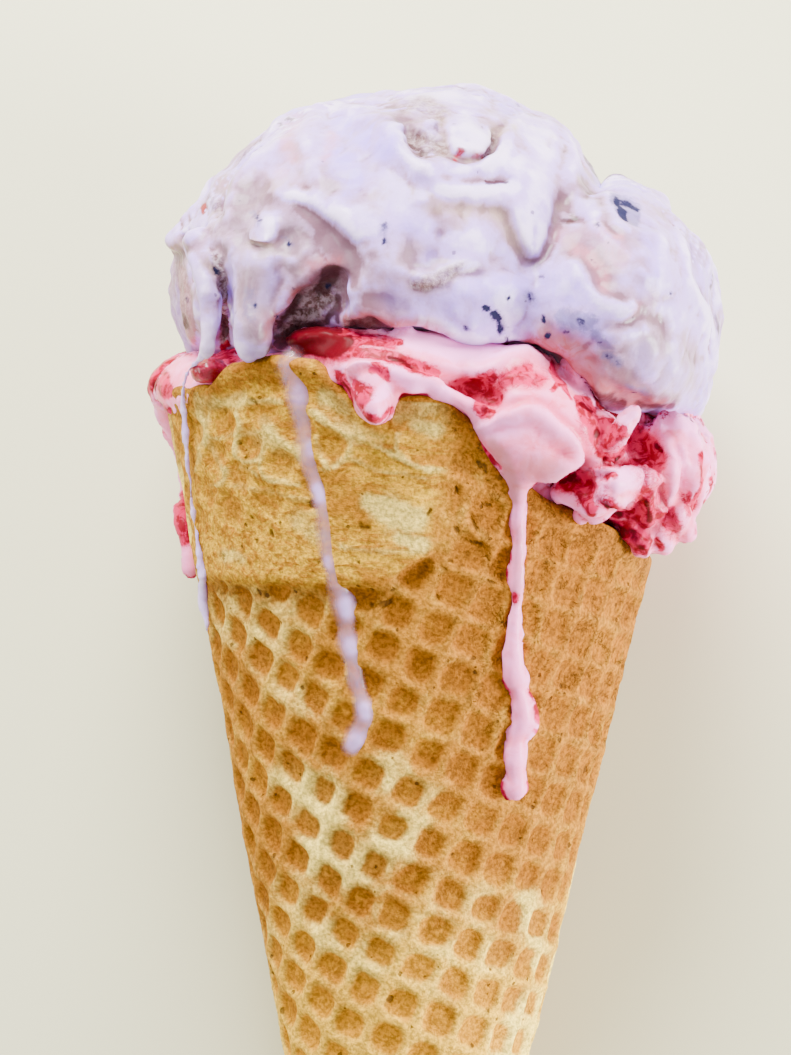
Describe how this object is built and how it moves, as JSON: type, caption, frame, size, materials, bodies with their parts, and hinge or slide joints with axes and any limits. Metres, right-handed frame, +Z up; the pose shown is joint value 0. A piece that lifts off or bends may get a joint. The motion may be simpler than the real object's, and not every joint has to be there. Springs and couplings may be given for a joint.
{
  "type": "huckleberry ice cream cone",
  "caption": "Rolled waffle cone with melting huckleberry ice cream over pink berry ripple ice cream, dripping down the cone, lying on its back.",
  "frame": {"origin": "on the floor, under the middle of the whole", "axes": "+Y from the cone's tip to the scoops, +Z up, out of the side that the picture shows"},
  "size_m": [0.0782, 0.1942, 0.0747],
  "materials": {
    "waffle_cone": "dry baked wafer",
    "ripple_scoop": "soft, half melted",
    "huckleberry_scoop": "soft, half melted",
    "red_berry": "wet and glossy"
  },
  "bodies": {
    "root": {"waffle_cone": "waffle_cone", "ripple_scoop": "ripple_scoop", "huckleberry_scoop": "huckleberry_scoop", "red_berry": "red_berry"}
  },
  "joints": []
}
